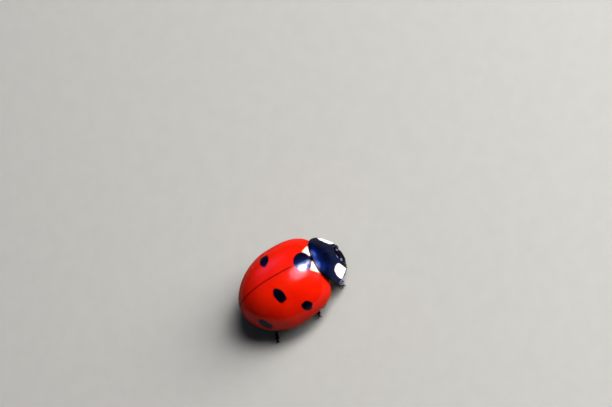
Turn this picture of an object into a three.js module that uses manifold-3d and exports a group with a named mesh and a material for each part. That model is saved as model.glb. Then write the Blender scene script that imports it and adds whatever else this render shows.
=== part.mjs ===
// A seven-spot ladybird, standing, at life size. Millimetres, +Z up, facing -Y, soles on Z = 0.
//
// Every place on the animal is given as [forward, left, up]: forward from the line where the wing cases
// meet the neck shield, left from the plane of symmetry, and up from the rim of the wing cases.

import * as THREE from "three";
import { mergeVertices } from "three/addons/utils/BufferGeometryUtils.js";
import Module from "manifold-3d";

const wasm = await Module();
wasm.setup();

// ---------------------------------------------------------------- driving dimensions, mm

const SEAM = 0.04; // the gap between neighbouring plates and joints
const STANCE = 1.35; // rim of the wing cases above the floor
const FAR = 20; // reaches past the whole animal
const SIDES = [["left", 1], ["right", -1]];

// Each rounded form is an egg lying fore and aft. In plan it has its halfWidth at widest and ends in
// superellipses of the rear and front reach. Seen from the side it rises by height and sinks by depth
// from its level, the most at its peak.
const DOME = {
  widest: -2.96,
  rear: 3.44,
  front: 3.47,
  rearPower: 1.7,
  frontPower: 2.96,
  halfWidth: 3.01,
  level: 0,
  peak: -3.39,
  height: 2.39,
  depth: 0.6,
  crestRear: 2.94,
  crestFront: 4.58,
  crestPower: 2.1,
  sidePower: 2.17,
  roofPower: 1.81,
};
const WING_WALL = 0.5;

// The lower front corner of the wing cases is rounded off where they pass the corners of the neck shield.
const SHOULDER = { top: 0.25, cut: 0.5, height: 0.6, power: 2.4, steps: 6 };

const BELLY_DEPTH = 0.62;
const BELLY_PLATES = { first: -2.75, last: -5.5, count: 5, step: 0.08 };
const WAIST = -2.55; // thorax ahead of it, abdomen behind it

// The neck shield is a grid that runs across from -1 to 1 and along from 0 at its rear to 1 at its front.
const SHIELD = {
  rear: 0.17,
  cornerAdvance: 0.33,
  cornerPower: 2.1,
  front: 1.45,
  hornAdvance: 0.08,
  halfWidth: 1.96,
  frontHalfWidth: 0.98,
  taperPower: 1.62,
  rearCrest: 1.58,
  slope: 0.3,
  droop: 0.5,
  rearEdge: 0.26,
  frontEdge: -0.34,
  rearArch: 4.5,
  frontArch: 3.0,
  thickness: 0.46,
  edgeThickness: 0.3,
};
const SHIELD_GRID = { across: 16, along: 6 };

const SCUTELLUM = { halfWidth: 0.34, base: 0.1, apex: -0.42 };

const PROTHORAX = {
  widest: 0.62,
  rear: 0.85,
  front: 0.72,
  halfWidth: 1.55,
  level: 0,
  height: 1.2,
  depth: 0.58,
};

const HEAD = {
  widest: 1.12,
  rear: 0.45,
  front: 0.59,
  halfWidth: 0.84,
  level: -0.38,
  height: 0.5,
  depth: 0.58,
  sidePower: 2.4,
};
const EYE = { widest: 1.36, rear: 0.3, front: 0.28, halfWidth: 0.21, level: -0.34, height: 0.33, depth: 0.33 };
const EYE_LEFT = 0.74;
const LABRUM = { widest: 1.34, rear: 0.24, front: 0.23, halfWidth: 0.36, level: -0.88, height: 0.16, depth: 0.16 };

const TAIL = DOME.widest - DOME.rear + SEAM / 2; // the gap between the wing cases takes the very tip
const FACE = HEAD.widest + HEAD.front;
const BODY_MIDDLE = (TAIL + FACE) / 2;

// How thick a limb is along its length, as [share of the length, share of the radius].
const STATIONS = {
  femur: [[0, 0], [0.02, 0.62], [0.15, 0.8], [0.45, 1], [0.78, 0.93], [0.96, 0.7], [1, 0]],
  tibia: [[0, 0], [0.02, 0.62], [0.2, 0.82], [0.85, 1], [0.96, 0.85], [1.03, 0.5], [1.05, 0]],
  tarsus: [[0.06, 0], [0.08, 0.6], [0.25, 0.92], [0.5, 1], [0.66, 0.84], [0.95, 0.7], [1, 0]],
  antenna: [[0, 0], [0.04, 0.8], [0.6, 0.82], [0.8, 1], [0.95, 0.85], [1, 0]],
  palp: [[0, 0], [0.04, 0.7], [0.5, 0.75], [0.85, 1], [0.97, 0.8], [1, 0]],
  mandible: [[0, 0], [0.04, 0.9], [0.5, 1], [0.94, 0.5], [1, 0]],
};
const FEMUR = { radius: 0.26, flatness: 0.88, sides: 10 };
const TIBIA = { radius: 0.25, flatness: 1, sides: 8 };
const TARSUS = { radius: 0.25, flatness: 0.84, sides: 8 };
const ANTENNA = { radius: 0.23, flatness: 1, sides: 8 };
const PALP = { radius: 0.2, flatness: 1, sides: 8 };
const MANDIBLE = { radius: 0.17, flatness: 1, sides: 8 };

// Each leg by its joints. The middle of a tarsus lies a little under its half-thickness above the floor, so
// that the floor cuts a flat sole on it.
const TOE = 0.17 - STANCE;
const LEGS = {
  front_right: [[0.4, -0.45, -0.5], [0.755, -1.75, -0.46], [0.22, -0.95, TOE], [0.58, -1.7, TOE]],
  front_left: [[0.4, 0.45, -0.5], [0.7, 1.62, -0.46], [0.14, 1.0, TOE], [0.62, 1.68, TOE]],
  middle_right: [[-0.95, -0.75, -0.55], [-1.06, -2.56, -0.34], [-1.82, -1.84, TOE], [-1.9, -2.7, TOE]],
  middle_left: [[-0.95, 0.75, -0.55], [-0.95, 2.5, -0.34], [-1.44, 2.02, TOE], [-1.76, 2.84, TOE]],
  hind_right: [[-2.5, -0.85, -0.58], [-4.02, -2.5, -0.36], [-5.14, -1.68, TOE], [-5.37, -2.62, TOE]],
  hind_left: [[-2.5, 0.85, -0.58], [-3.8, 2.5, -0.36], [-4.66, 1.96, TOE], [-5.1, 2.76, TOE]],
};

// Feelers and mouthparts of the left side. The right side mirrors them.
const ANTENNA_PATH = [[1.38, 0.5, -0.6], [1.34, 0.74, -0.84], [1.12, 0.92, -0.98], [0.82, 1.0, -1.04]];
const PALP_PATH = [[1.08, 0.36, -0.9], [1.2, 0.52, -1.04], [1.36, 0.5, -1.12]];
const MANDIBLE_PATH = [[1.12, 0.26, -0.96], [1.3, 0.26, -1.06], [1.46, 0.15, -1.1]];

const LOOKS = {
  wing: { color: 0xd42208, roughness: 0.18 },
  black: { color: 0x0b0d14, roughness: 0.28 },
  underside: { color: 0x0d0c0c, roughness: 0.5 },
  eye: { color: 0x050505, roughness: 0.2 },
  feeler: { color: 0x2c1a10, roughness: 0.45 },
};

// ---------------------------------------------------------------- geometry and solids

const at = (forward, left, up) => new THREE.Vector3(left, -forward, up);

// A closed geometry as a solid. Poles and lathe tips leave triangles of no width, which are dropped.
function solidOf(geometry) {
  const bare = new THREE.BufferGeometry();
  bare.setAttribute("position", geometry.getAttribute("position"));
  bare.setIndex(geometry.getIndex());
  const merged = mergeVertices(bare, 1e-4);
  const corners = merged.getIndex().array;
  const kept = [];
  for (let i = 0; i < corners.length; i += 3) {
    const [a, b, c] = corners.slice(i, i + 3);
    if (a !== b && b !== c && c !== a) kept.push(a, b, c);
  }
  return new wasm.Manifold(
    new wasm.Mesh({
      numProp: 3,
      vertProperties: new Float32Array(merged.getAttribute("position").array),
      triVerts: new Uint32Array(kept),
    }),
  );
}

function geometryOf(solid) {
  const mesh = solid.getMesh();
  const places = new Float32Array(mesh.numVert * 3);
  for (let i = 0; i < mesh.numVert; i++) {
    places.set(mesh.vertProperties.subarray(i * mesh.numProp, i * mesh.numProp + 3), i * 3);
  }
  const geometry = new THREE.BufferGeometry();
  geometry.setAttribute("position", new THREE.BufferAttribute(places, 3));
  geometry.setIndex(new THREE.BufferAttribute(new Uint32Array(mesh.triVerts), 1));
  geometry.computeVertexNormals();
  return geometry;
}

// Moves every vertex of a geometry to where place(x, y, z) says.
function warp(geometry, place) {
  const points = geometry.getAttribute("position");
  for (let i = 0; i < points.count; i++) {
    const p = place(points.getX(i), points.getY(i), points.getZ(i));
    points.setXYZ(i, p.x, p.y, p.z);
  }
  return geometry;
}

// 1 in the middle and 0 at the reach, along a superellipse.
function swell(distance, reach, power) {
  const share = Math.min(1, Math.abs(distance) / reach);
  return (1 - share ** power) ** (1 / power);
}

const bend = (value, power) => Math.sign(value) * Math.abs(value) ** power;
const union = (solids) => solids.reduce((all, one) => all.add(one));

// Everything between two places along one axis: 0 is left, 1 is backward and 2 is up.
function slab(axis, low, high) {
  const size = [2 * FAR, 2 * FAR, 2 * FAR];
  const middle = [0, 0, 0];
  size[axis] = high - low;
  middle[axis] = (low + high) / 2;
  return solidOf(new THREE.BoxGeometry(...size).translate(...middle));
}

const behind = (forward) => slab(1, -forward, FAR);
const aheadOf = (forward) => slab(1, -FAR, -forward);
const below = (up) => slab(2, -FAR, up);

// An egg from a sphere whose poles lie fore and aft. grow makes it larger all round.
function egg(form, { grow = 0, around = 20, along = 14, belly = () => 1 } = {}) {
  const { level, rearPower = 2, frontPower = 2, crestPower = 2, sidePower = 2, roofPower = 2 } = form;
  const { peak = form.widest, crestRear = form.rear, crestFront = form.front } = form;
  return warp(new THREE.SphereGeometry(1, around, along), (x, y, z) => {
    const forward = form.widest - y * ((y > 0 ? form.rear : form.front) + grow);
    const [reach, power] = forward > form.widest ? [form.front, frontPower] : [form.rear, rearPower];
    const width = (form.halfWidth + grow) * swell(forward - form.widest, reach + grow, power);
    const crestReach = forward > peak ? crestFront : crestRear;
    const crest = swell(forward - peak, crestReach + grow, crestPower);
    const ring = Math.hypot(x, z) || 1;
    const rise = z > 0 ? form.height + grow : (form.depth + grow) * belly(forward);
    const left = width * bend(x / ring, 2 / sidePower);
    return at(forward, left, level + rise * crest * bend(z / ring, 2 / roofPower));
  });
}

function shrunk(form, by) {
  const smaller = { ...form };
  for (const name of ["rear", "front", "halfWidth", "height", "crestRear", "crestFront"]) smaller[name] -= by;
  return smaller;
}

// A tapering limb: a lathe turned to its stations, then bent along a smooth path. flatness narrows it
// across the way that it is seen from above.
function limb(path, stations, { radius, flatness, sides }, grow = 0) {
  const curve = new THREE.CatmullRomCurve3(path.map((place) => at(...place)));
  const length = curve.getLength();
  const profile = stations.map(
    ([along, share]) => new THREE.Vector2(share ? share * radius + grow : 0, along * (length + 2 * grow) - grow),
  );
  return warp(new THREE.LatheGeometry(profile, sides), (x, y, z) => {
    const along = Math.min(1, Math.max(0, y / length));
    const tangent = curve.getTangentAt(along);
    const wide = new THREE.Vector3().crossVectors(tangent, at(0, 0, 1)).normalize();
    const thin = new THREE.Vector3().crossVectors(wide, tangent);
    return curve
      .getPointAt(along)
      .addScaledVector(tangent, y - along * length)
      .addScaledVector(wide, x)
      .addScaledVector(thin, z * flatness);
  });
}

// The neck shield, or a blank for cutting its room: grow moves its outline out, lift and drop its faces.
function shield({ grow = 0, lift = 0, drop = 0 } = {}) {
  const s = SHIELD;
  const grid = new THREE.BoxGeometry(2, 1, 2, SHIELD_GRID.across, SHIELD_GRID.along, 1);
  return warp(grid, (across, y, z) => {
    const along = 0.5 - y;
    const half = s.halfWidth - (s.halfWidth - s.frontHalfWidth) * along ** s.taperPower + grow;
    const rear = s.rear + s.cornerAdvance * Math.abs(across) ** s.cornerPower - grow;
    const front = s.front + s.hornAdvance * across ** 2 + grow;
    const forward = rear + (front - rear) * along;
    const run = forward - s.rear;
    const crest = s.rearCrest - s.slope * run - s.droop * run ** 2;
    const edge = s.rearEdge + (s.frontEdge - s.rearEdge) * along;
    const arch = s.frontArch + (s.rearArch - s.frontArch) * (1 - along);
    const top = edge + (crest - edge) * (1 - Math.abs(across) ** arch);
    const core = (1 - across ** 2) * (1 - along);
    const thickness = s.edgeThickness + (s.thickness - s.edgeThickness) * core;
    return at(forward, across * half, z > 0 ? top + lift : top - thickness - drop);
  });
}

const shieldRoom = () => solidOf(shield({ grow: SEAM, lift: 2, drop: SEAM }));
const shieldColumn = (grow) => solidOf(shield({ grow, lift: 2, drop: 3 }));

// The little triangle between the bases of the wing cases, as an upright prism.
function scutellumPrism(grow) {
  const { halfWidth, base, apex } = SCUTELLUM;
  const tip = apex - (grow * Math.hypot(halfWidth, base - apex)) / halfWidth;
  const outline = new THREE.Shape([
    new THREE.Vector2(-halfWidth - grow, -SHIELD.front),
    new THREE.Vector2(halfWidth + grow, -SHIELD.front),
    new THREE.Vector2(halfWidth + grow, -base),
    new THREE.Vector2(0, -tip),
    new THREE.Vector2(-halfWidth - grow, -base),
  ]);
  return solidOf(new THREE.ExtrudeGeometry(outline, { depth: DOME.height, bevelEnabled: false }).translate(0, 0, 1));
}

// What the rounding takes off the shoulders, as a bar across the animal.
function shoulderBar() {
  const { top, cut, height, power, steps } = SHOULDER;
  const outline = new THREE.Shape();
  outline.moveTo(SHIELD.front, -height);
  outline.lineTo(SHIELD.front, height);
  for (let i = 0; i <= steps; i++) {
    const share = i / steps;
    outline.lineTo(top - cut * share ** power, height * (1 - share));
  }
  outline.lineTo(top - cut, -height);
  const bar = new THREE.ExtrudeGeometry(outline, { depth: 2 * FAR, bevelEnabled: false }).translate(0, 0, -FAR);
  return solidOf(warp(bar, (forward, up, right) => at(forward, -right, up)));
}

// ---------------------------------------------------------------- limbs as solids

const mirrored = (path, side) => path.map(([forward, left, up]) => [forward, left * side, up]);

const femur = ([hip, knee], grow) => solidOf(limb([hip, knee], STATIONS.femur, FEMUR, grow));
const tibia = ([, knee, ankle], grow) => solidOf(limb([knee, ankle], STATIONS.tibia, TIBIA, grow));
const tarsus = ([, , ankle, toe]) => solidOf(limb([ankle, toe], STATIONS.tarsus, TARSUS));

const antenna = (side, grow) => solidOf(limb(mirrored(ANTENNA_PATH, side), STATIONS.antenna, ANTENNA, grow));
const palp = (side) => solidOf(limb(mirrored(PALP_PATH, side), STATIONS.palp, PALP));
const mandible = (side, grow) => solidOf(limb(mirrored(MANDIBLE_PATH, side), STATIONS.mandible, MANDIBLE, grow));

const skull = (grow) => solidOf(egg(HEAD, { grow, around: 18, along: 12 }));
const labrum = (grow) => solidOf(egg(LABRUM, { grow, around: 12, along: 8 }));
const eyeball = (side, grow) => solidOf(egg(EYE, { grow, around: 12, along: 8 }).translate(side * EYE_LEFT, 0, 0));

// ---------------------------------------------------------------- assembly

const part = new THREE.Group();
part.position.set(0, BODY_MIDDLE, STANCE);

function add(name, solid, look) {
  const mesh = new THREE.Mesh(geometryOf(solid), new THREE.MeshStandardMaterial({ ...LOOKS[look], metalness: 0 }));
  mesh.name = name;
  part.add(mesh);
}

// One domed shell, parted along the middle and around the scutellum.
function addWingCases() {
  const dome = solidOf(egg(DOME, { around: 36, along: 28 }));
  const hollow = solidOf(egg(shrunk(DOME, WING_WALL), { around: 24, along: 18 }));
  const shell = dome.subtract(hollow).subtract(below(0)).subtract(shieldColumn(SEAM));
  const wings = shell.subtract(scutellumPrism(SEAM)).subtract(shoulderBar());
  add("elytron_left", wings.subtract(slab(0, -FAR, SEAM / 2)), "wing");
  add("elytron_right", wings.subtract(slab(0, -SEAM / 2, FAR)), "wing");
  add("scutellum", shell.intersect(scutellumPrism(0)), "black");
}

// How deep the belly is at a place along it: each plate starts full and thins towards the next.
function bellyPlates(forward) {
  const { first, last, count, step } = BELLY_PLATES;
  const plate = ((first - forward) / (first - last)) * count;
  return plate < 0 || plate > count ? 1 : 1 - step * (plate % 1);
}

// Thorax and abdomen are one core under the wing cases, parted at the waist.
function addBody() {
  const hips = union(Object.values(LEGS).map((leg) => femur(leg, SEAM)));
  const form = { ...shrunk(DOME, WING_WALL + SEAM), depth: BELLY_DEPTH };
  const core = solidOf(egg(form, { around: 20, along: 30, belly: bellyPlates })).subtract(hips);
  const thorax = core.subtract(behind(WAIST + SEAM / 2)).subtract(shieldColumn(SEAM));
  const collar = solidOf(egg(PROTHORAX, { around: 18, along: 10 })).intersect(shieldColumn(0));
  add("thorax", thorax, "underside");
  add("abdomen", core.subtract(aheadOf(WAIST - SEAM / 2)), "underside");
  add("pronotum", solidOf(shield()), "black");
  add("prothorax", collar.subtract(shieldRoom()).subtract(skull(SEAM)).subtract(hips), "underside");
}

function addHead() {
  const eyes = union(SIDES.map(([, side]) => eyeball(side, SEAM)));
  add("head", skull(0).subtract(shieldRoom()).subtract(eyes), "black");
  add("labrum", labrum(0).subtract(skull(SEAM)), "black");
  for (const [name, side] of SIDES) {
    const face = skull(SEAM).add(labrum(SEAM));
    const jaws = face.add(mandible(side, SEAM)).add(antenna(side, SEAM));
    add(`eye_${name}`, eyeball(side, 0).subtract(shieldRoom()), "eye");
    add(`antenna_${name}`, antenna(side, 0).subtract(face.add(eyeball(side, SEAM))), "feeler");
    add(`mandible_${name}`, mandible(side, 0).subtract(face), "feeler");
    add(`palp_${name}`, palp(side).subtract(jaws), "feeler");
  }
}

function addLegs() {
  for (const [name, leg] of Object.entries(LEGS)) {
    add(`leg_${name}_femur`, femur(leg, 0), "black");
    add(`leg_${name}_tibia`, tibia(leg, 0).subtract(femur(leg, SEAM)).subtract(below(-STANCE)), "black");
    add(`leg_${name}_tarsus`, tarsus(leg).subtract(tibia(leg, SEAM)).subtract(below(-STANCE)), "black");
  }
}

addWingCases();
addBody();
addHead();
addLegs();

export default part;
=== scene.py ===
"""A seven-spot ladybird, standing, at life size.

Places on the animal are [forward, left, up] in millimetres: forward from the line where the wing cases meet
the neck shield, left from the plane of symmetry, and up from the rim of the wing cases. put() turns them
into the row frame in metres.
"""

import bpy
import numpy as np
from mathutils import Matrix, Vector

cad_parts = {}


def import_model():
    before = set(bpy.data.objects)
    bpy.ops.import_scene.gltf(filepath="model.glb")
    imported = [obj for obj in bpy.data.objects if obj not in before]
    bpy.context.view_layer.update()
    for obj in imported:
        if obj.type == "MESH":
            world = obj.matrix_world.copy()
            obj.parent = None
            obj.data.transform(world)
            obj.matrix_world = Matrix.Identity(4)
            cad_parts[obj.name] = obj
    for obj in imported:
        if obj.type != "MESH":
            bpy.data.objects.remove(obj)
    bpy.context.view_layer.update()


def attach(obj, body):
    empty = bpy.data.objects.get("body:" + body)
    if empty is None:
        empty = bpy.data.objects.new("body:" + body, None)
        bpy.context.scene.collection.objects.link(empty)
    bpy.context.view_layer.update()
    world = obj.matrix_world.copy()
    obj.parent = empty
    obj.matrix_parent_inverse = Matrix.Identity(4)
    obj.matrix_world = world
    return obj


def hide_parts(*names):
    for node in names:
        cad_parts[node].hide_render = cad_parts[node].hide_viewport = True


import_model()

# ------------------------------------------------ dimensions, mm

BODY_MIDDLE = -2.335
STANCE = 1.35  # rim of the wing cases above the floor
MM = 0.001
SIDES = (("left", 1), ("right", -1))
UP = np.array([0.0, 0.0, 1.0])

# The wing cases together are an egg lying fore and aft, as in the solids.
WIDEST, REAR, FRONT, HALF_WIDTH = -2.96, 3.44, 3.47, 3.01
REAR_POWER, FRONT_POWER = 1.7, 2.96
PEAK, HEIGHT, CREST_REAR, CREST_FRONT, CREST_POWER = -3.39, 2.39, 2.94, 4.58, 2.1
SIDE_POWER, ROOF_POWER = 2.17, 1.81
# The rounding of their lower front corner: its foremost place, what it takes off, its height and power.
SHOULDER_TOP, SHOULDER_CUT, SHOULDER_HEIGHT, SHOULDER_POWER = 0.25, 0.5, 0.6, 2.4
TAIL = WIDEST - REAR

SUTURE = 0.007  # half of the gap between the wing cases
WALL = 0.5  # width of the rim turned under each wing case
CORE = 0.54  # how far inside the wing cases the body lies
BELLY_DEPTH = 0.62
WAIST = -2.55  # where the thorax ends and the belly begins

# ------------------------------------------------ number helpers


def put(places):
    """[forward, left, up] in mm as points in the row frame, in metres."""
    p = np.asarray(places, float)
    return np.stack([p[..., 1], BODY_MIDDLE - p[..., 0], p[..., 2] + STANCE], -1) * MM


def aim(direction):
    """A [forward, left, up] direction as a unit Vector in the row frame."""
    f, l, u = direction
    return Vector((l, -f, u)).normalized()


def swell(distance, reach, power):
    """1 in the middle and 0 at the reach, along a superellipse."""
    share = np.clip(np.abs(distance) / reach, 0, 1)
    return (1 - share**power) ** (1 / power)


def bend(value, power):
    return np.sign(value) * np.abs(value) ** power


def gauss(distance, width):
    return np.exp(-((distance / width) ** 2))


def smooth(low, high, value):
    t = np.clip((value - low) / (high - low), 0, 1)
    return t * t * (3 - 2 * t)


def stack(*parts):
    return np.stack(np.broadcast_arrays(*parts), -1)


def unit(vectors):
    return vectors / np.maximum(np.linalg.norm(vectors, axis=-1, keepdims=True), 1e-12)


def ripple(places, size, seed):
    """A soft unevenness of about 1, from a few waves of about the given size."""
    rng = np.random.default_rng(seed)
    total, waves = np.zeros(places.shape[:-1]), 9
    for _ in range(waves):
        direction = unit(rng.normal(size=3))
        total += np.sin(places @ direction * 2 * np.pi / (size * rng.uniform(0.7, 1.6)) + rng.uniform(0, 6.3))
    return total / np.sqrt(waves)


def ridge(value, height, place, width):
    """A soft ridge where the value is near the place, or a groove where the height is below 0."""
    return height * gauss(value - place, width)


def inside(f, l, corners, soft=0.0):
    """Signed distance in mm from the edge of a convex outline in plan: below 0 within it. soft rounds its
    corners."""
    centre = np.mean(corners, axis=0)
    worst = None
    for a, b in zip(corners, corners[1:] + corners[:1]):
        normal = np.array([b[1] - a[1], a[0] - b[0]]) / np.hypot(b[0] - a[0], b[1] - a[1])
        if normal @ (centre - a) > 0:
            normal = -normal
        side = (f - a[0]) * normal[0] + (l - a[1]) * normal[1]
        if worst is None:
            worst = side
            continue
        overlap = np.clip(1 - np.abs(worst - side) / max(soft, 1e-6), 0, 1)
        worst = np.maximum(worst, side) + overlap**2 * soft / 4
    return worst


def segment_distance(f, l, start, end):
    """Distance in plan from (f, l) to the line between two places."""
    a, way = np.array(start), np.subtract(end, start)
    along = np.clip(((f - a[0]) * way[0] + (l - a[1]) * way[1]) / (way @ way), 0, 1)
    return np.hypot(f - a[0] - along * way[0], l - a[1] - along * way[1])


# ------------------------------------------------ meshes


def shown(name, data):
    """A new object of the data, in the scene."""
    made = bpy.data.objects.new(name, data)
    bpy.context.scene.collection.objects.link(made)
    return made


def mesh(name, points, faces, values=None):
    """A smooth mesh from points in mm and faces of indices, with equal points welded and normals outward."""
    keys = np.round(points, 6) + 0.0
    _, first, index = np.unique(keys, axis=0, return_index=True, return_inverse=True)
    index = index.reshape(-1)
    welded = []
    for face in faces:
        ring = [int(index[i]) for i in face]
        ring = [v for i, v in enumerate(ring) if v != ring[i - 1]]
        if len(set(ring)) >= 3:
            welded.append(ring)
    data = bpy.data.meshes.new(name)
    data.from_pydata(put(points[first]).tolist(), [], welded)
    for key, value in (values or {}).items():
        layer = data.attributes.new(key, "FLOAT", "POINT")
        layer.data.foreach_set("value", np.asarray(value, np.float32).reshape(-1)[first])
    data.polygons.foreach_set("use_smooth", [True] * len(data.polygons))
    if volume(data) < 0:
        data.flip_normals()
    data.update()
    return shown(name, data)


def volume(data):
    """Six times the volume of a mesh, below 0 where its faces point inward."""
    data.calc_loop_triangles()
    points = np.zeros(len(data.vertices) * 3)
    data.vertices.foreach_get("co", points)
    corners = np.zeros(len(data.loop_triangles) * 3, int)
    data.loop_triangles.foreach_get("vertices", corners)
    a, b, c = points.reshape(-1, 3)[corners.reshape(-1, 3).T]
    return (a * np.cross(b, c)).sum()


def loft_faces(rows, around, offset=0):
    """Quads between rings of points, and the two end caps."""
    faces = []
    for i in range(rows - 1):
        for j in range(around):
            a, b = offset + i * around + j, offset + i * around + (j + 1) % around
            faces.append((a, b, b + around, a + around))
    faces.append(tuple(range(offset, offset + around))[::-1])
    faces.append(tuple(range(offset + (rows - 1) * around, offset + rows * around)))
    return faces


def loft(name, rows, values=None):
    """A closed mesh through rows of rings, shaped (rows, around, 3)."""
    return mesh(name, rows.reshape(-1, 3), loft_faces(*rows.shape[:2]), values)


def joined(name, pieces):
    """One mesh of several lofts, each (rows, around, 3)."""
    points, faces, offset = [], [], 0
    for rows in pieces:
        points.append(rows.reshape(-1, 3))
        faces += loft_faces(*rows.shape[:2], offset)
        offset += rows.shape[0] * rows.shape[1]
    return mesh(name, np.concatenate(points), faces)


def curve(places, count):
    """Evenly spaced points along a smooth line through the places."""
    p = np.asarray(places, float)
    p = np.concatenate([[2 * p[0] - p[1]], p, [2 * p[-1] - p[-2]]])
    t = np.linspace(0, 1, 60, endpoint=False)[:, None]
    pieces = []
    for i in range(1, len(p) - 2):
        a, b, c, d = p[i - 1 : i + 3]
        square, cube = 2 * a - 5 * b + 4 * c - d, 3 * b - a - 3 * c + d
        pieces.append(0.5 * (2 * b + (c - a) * t + square * t**2 + cube * t**3))
    fine = np.concatenate(pieces + [p[-2:-1]])
    run = np.concatenate([[0], np.cumsum(np.linalg.norm(np.diff(fine, axis=0), axis=1))])
    wanted = np.linspace(0, run[-1], count)
    return np.stack([np.interp(wanted, run, fine[:, k]) for k in range(3)], 1)


def frames(line):
    """Tangent, wide and thin directions along a line; wide lies level."""
    tangent = unit(np.gradient(line, axis=0))
    wide = unit(np.cross(tangent, UP))
    return tangent, wide, np.cross(wide, tangent)


LINE_POINTS = 400  # along the middle of a limb
ROUND_END = 0.03  # share of a limb's length over which each end closes
END_STEP = 0.006  # share of its length between the rings next to its ends


def rounded(profile):
    """A limb's profile with both of its ends drawn out round to nothing."""
    (s0, r0), (s1, r1) = profile[0], profile[-1]
    angles = np.linspace(0, np.pi / 2, 5)
    head = [(s0 + ROUND_END * (1 - np.cos(a)), r0 * np.sin(a)) for a in angles]
    tail = [(s1 - ROUND_END * (1 - np.cos(a)), r1 * np.sin(a)) for a in angles[::-1]]
    inner = [(s, r) for s, r in profile if s0 + ROUND_END < s < s1 - ROUND_END]
    return head + inner + tail


def limb(places, profile, rows, around, flatness=1.0):
    """Rings along a smooth line, closing round at both ends. profile lists (share of the length, radius), and
    flatness narrows the limb across the wide direction."""
    share, radius = np.array(rounded(profile), float).T
    ends = END_STEP * np.arange(3)
    stations = np.unique(np.concatenate([np.linspace(0, 1, rows), share, share[0] + ends, share[-1] - ends]))
    line = curve(places, LINE_POINTS)
    _, wide, thin = frames(line)
    reach = np.linspace(0, 1, LINE_POINTS)
    pick = lambda array: np.stack([np.interp(stations, reach, array[:, k]) for k in range(3)], 1)
    middle, wide, thin = pick(line), unit(pick(wide)), unit(pick(thin))
    r = np.interp(stations, share, radius)[:, None]
    angle = np.linspace(0, 2 * np.pi, around, endpoint=False)
    across, height = np.cos(angle) * r, np.sin(angle) * r * flatness
    return middle[:, None] + wide[:, None] * across[..., None] + thin[:, None] * height[..., None]


def settle(piece, slot, looks, *nodes):
    """Gives a piece its body and its material, and hides the solids that it stands for. The slot is not used.
    """
    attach(piece, "root")
    if nodes:
        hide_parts(*nodes)
    piece.data.materials.append(looks)


# ------------------------------------------------ the wing cases' form


def half_width(f, shrink=0.0):
    reach = np.where(f < WIDEST, REAR, FRONT) - shrink
    power = np.where(f < WIDEST, REAR_POWER, FRONT_POWER)
    return (HALF_WIDTH - shrink) * swell(f - WIDEST, reach, power)


def crest(f, shrink=0.0):
    return swell(f - PEAK, np.where(f < PEAK, CREST_REAR, CREST_FRONT) - shrink, CREST_POWER)


def dome(f, angle, height=HEIGHT, shrink=0.0):
    """A place on the wing cases: angle is 0 on the midline and a quarter turn at the rim. shrink goes that
    far inside them, and a height below 0 gives the belly."""
    left = half_width(f, shrink) * bend(np.sin(angle), 2 / SIDE_POWER)
    up = height * crest(f, shrink) * np.abs(np.cos(angle)) ** (2 / ROOF_POWER)
    return stack(f, left, up)


def dome_top(f, l):
    side = np.clip(np.abs(l) / np.maximum(half_width(f), 1e-6), 0, 1) ** SIDE_POWER
    return HEIGHT * crest(f) * (1 - side) ** (1 / ROOF_POWER)


# ------------------------------------------------ the neck shield's form

SHIELD_REAR, CORNER_ADVANCE, CORNER_POWER = 0.17, 0.33, 2.1
SHIELD_FRONT, HORN_ADVANCE = 1.45, 0.08
SHIELD_HALF, SHIELD_FRONT_HALF, TAPER = 1.96, 0.98, 1.62
REAR_CREST, SLOPE, DROOP, REAR_EDGE, FRONT_EDGE = 1.58, 0.3, 0.5, 0.26, -0.34
REAR_ARCH, FRONT_ARCH = 4.5, 3.0
SHIELD_THICKNESS, SHIELD_THINNEST = 0.46, 0.16


def shield_rear(across):
    return SHIELD_REAR + CORNER_ADVANCE * np.abs(across) ** CORNER_POWER


def shield_half(along):
    return SHIELD_HALF - (SHIELD_HALF - SHIELD_FRONT_HALF) * along**TAPER


def shield_top(across, along):
    """A place on the shield: across from -1 to 1, along from 0 at its rear to 1 at its front."""
    rear = shield_rear(across)
    forward = rear + (SHIELD_FRONT + HORN_ADVANCE * across**2 - rear) * along
    run = forward - SHIELD_REAR
    ridge = REAR_CREST - SLOPE * run - DROOP * run**2
    edge = REAR_EDGE + (FRONT_EDGE - REAR_EDGE) * along
    arch = FRONT_ARCH + (REAR_ARCH - FRONT_ARCH) * (1 - along)
    up = edge + (ridge - edge) * (1 - np.abs(across) ** arch)
    return stack(forward, across * shield_half(along), up)


# ------------------------------------------------ markings

# Spots of each wing case: centre in plan, semi-axes in mm, and how far the long axis turns from straight out
# towards the front, in degrees. As on most ladybirds, the two sides differ a little.
SPOTS = {
    -1: (
        ((-1.68, 2.60), (0.36, 0.32), 20),
        ((-2.83, 1.38), (0.52, 0.325), 10),
        ((-4.99, 1.98), (0.52, 0.36), 35),
    ),
    1: (
        ((-1.7, 2.75), (0.36, 0.32), 20),
        ((-2.83, 1.57), (0.52, 0.325), 4),
        ((-4.97, 2.04), (0.52, 0.36), 35),
    ),
}
SCUTELLAR_SPOT = ((-0.46, 0.0), (0.53, 0.73))
BASE_PATCH = ((0.13, 0.14), (-0.25, 0.74), (0.17, 1.18), (0.6, 1.3), (0.6, 0.1))
SPOT_POWER = 2.3  # of the superellipse that a spot is, above 2 for a squarer one
SPOT_DEPTH = 1.4  # how far off the plane that touches the shell at its middle a spot may still lie


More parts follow.
